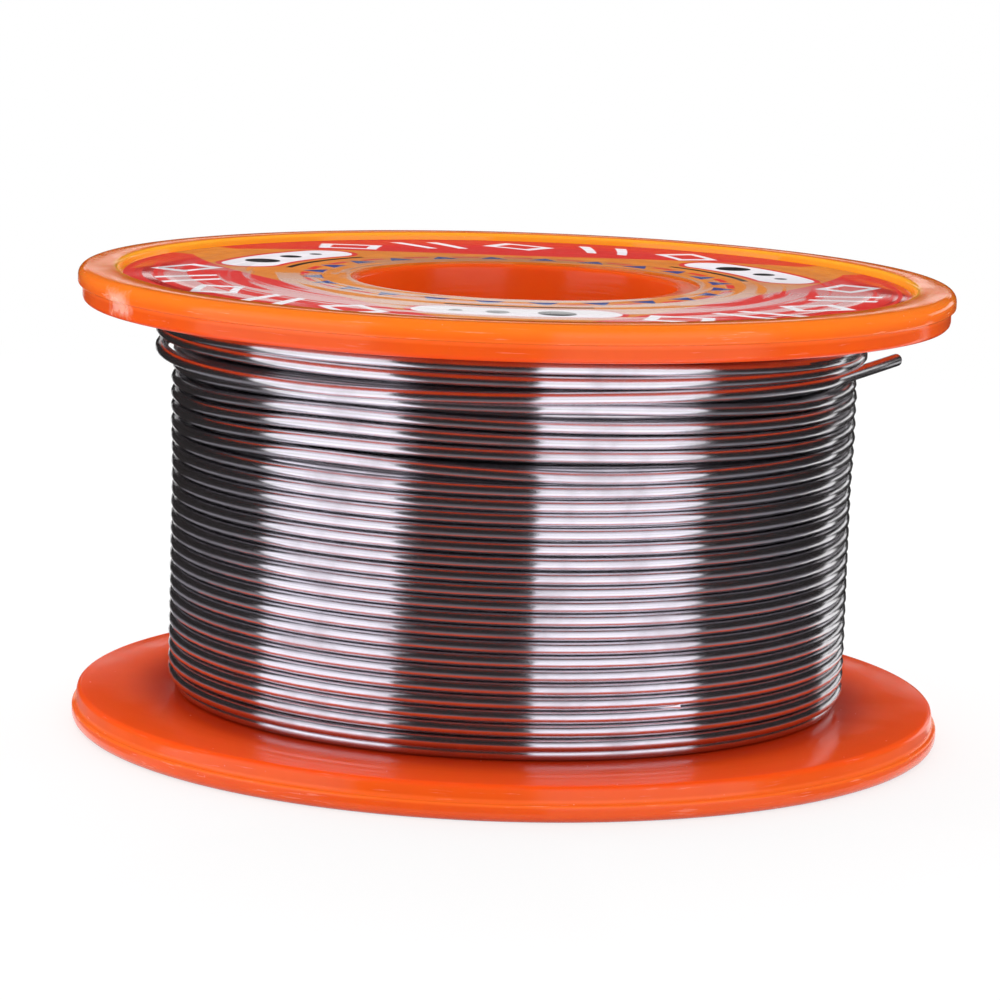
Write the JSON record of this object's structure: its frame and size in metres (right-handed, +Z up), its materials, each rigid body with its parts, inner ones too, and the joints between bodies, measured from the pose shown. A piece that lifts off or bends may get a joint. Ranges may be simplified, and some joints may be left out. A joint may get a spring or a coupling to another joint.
{
  "type": "solder wire spool",
  "caption": "Spool of fine solder wire wound between two moulded round flanges, with a through bore for a spindle and a free cut end of wire.",
  "frame": {"origin": "on the spool's axis, in the plane of the lower rim that it stands on", "axes": "+Z up along the axis and the bore; the wire's free end points to +Y on the +X side"},
  "size_m": [0.055, 0.055, 0.0288],
  "materials": {
    "orange_plastic": "semi-gloss moulded",
    "label_film": "glossy laminated print",
    "solder": "bright drawn wire",
    "flux": "solid rosin"
  },
  "bodies": {
    "root": {"lower_flange": "orange_plastic", "upper_flange": "orange_plastic", "hub": "orange_plastic", "lower_label": "label_film", "upper_label": "label_film", "wire_start": "solder", "wire_inner_layers": "solder", "wire_outer_layer": "solder", "wire_upper_turns": "solder", "wire_last_turn": "solder", "wire_free_end": "solder", "flux_core": "flux"}
  },
  "joints": []
}
